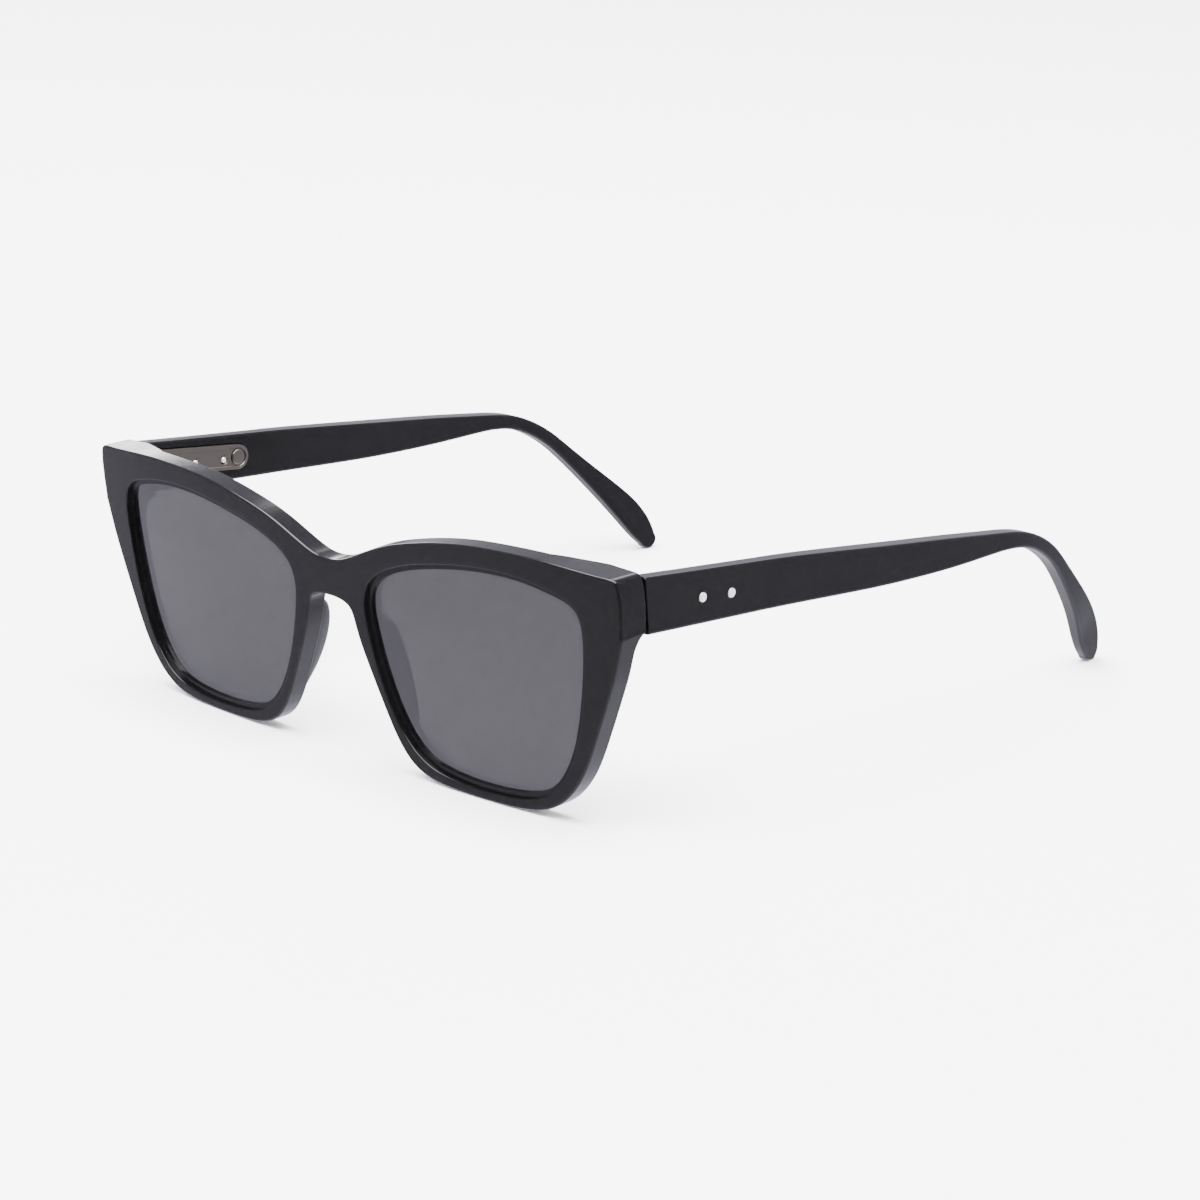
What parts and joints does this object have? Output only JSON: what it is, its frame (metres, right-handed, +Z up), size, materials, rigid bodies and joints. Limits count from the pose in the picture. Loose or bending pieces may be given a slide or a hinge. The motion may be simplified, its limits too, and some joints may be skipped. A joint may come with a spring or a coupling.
{
  "type": "cat eye sunglasses",
  "caption": "Cat eye sunglasses: black acetate front with upswept corners, grey tinted lenses, and folding temples on spring hinges with rivets and a let-in metal plate.",
  "frame": {"origin": "centre of the whole object's box on the table, with the temples open and the rims and ear tips standing on it", "axes": "front faces -Y, temples run to +Y, +X is the wearer's left, +Z up"},
  "size_m": [0.1462, 0.1424, 0.0476],
  "materials": {
    "black acetate": "tumbled and polished",
    "grey tinted lens": "clear polished, neutral grey tint",
    "satin nickel silver": "satin",
    "polished steel": "polished"
  },
  "bodies": {
    "front frame": {"front": "black acetate", "lens_left": "grey tinted lens", "lens_right": "grey tinted lens", "nose_pad_left": "black acetate", "nose_pad_right": "black acetate", "front_hinge_leaf_left": "satin nickel silver", "front_hinge_leaf_right": "satin nickel silver", "hinge_screw_left": "polished steel", "hinge_screw_right": "polished steel"},
    "slider left": {"hinge_slider_left": "satin nickel silver", "spring_stop_left": "polished steel", "flex_spring_left": "polished steel"},
    "slider right": {"hinge_slider_right": "satin nickel silver", "spring_stop_right": "polished steel", "flex_spring_right": "polished steel"},
    "arm left": {"temple_left": "black acetate", "core_wire_left": "polished steel", "hinge_housing_left": "satin nickel silver", "housing_cap_left": "satin nickel silver", "rivet_front_left": "polished steel", "rivet_rear_left": "polished steel"},
    "arm right": {"temple_right": "black acetate", "core_wire_right": "polished steel", "hinge_housing_right": "satin nickel silver", "housing_cap_right": "satin nickel silver", "rivet_front_right": "polished steel", "rivet_rear_right": "polished steel"}
  },
  "joints": [
    {"name": "left_fold", "type": "hinge", "parent": "front frame", "child": "slider left", "pos_m": [0.067, -0.05919, 0.04148], "axis": [0, 0.1179, 0.993], "range_deg": [-1, 87]},
    {"name": "right_fold", "type": "hinge", "parent": "front frame", "child": "slider right", "pos_m": [-0.067, -0.05919, 0.04148], "axis": [0, -0.1179, -0.993], "range_deg": [-1, 69]},
    {"name": "left_spring", "type": "slide", "parent": "slider left", "child": "arm left", "axis": [0, 0.993, -0.1179], "range_m": [0, 0.0012], "stiffness_N_per_m": 2000, "springref_m": -0.001, "deforming": ["flex_spring_left"]},
    {"name": "right_spring", "type": "slide", "parent": "slider right", "child": "arm right", "axis": [0, 0.993, -0.1179], "range_m": [0, 0.0012], "stiffness_N_per_m": 2000, "springref_m": -0.001, "deforming": ["flex_spring_right"]}
  ]
}
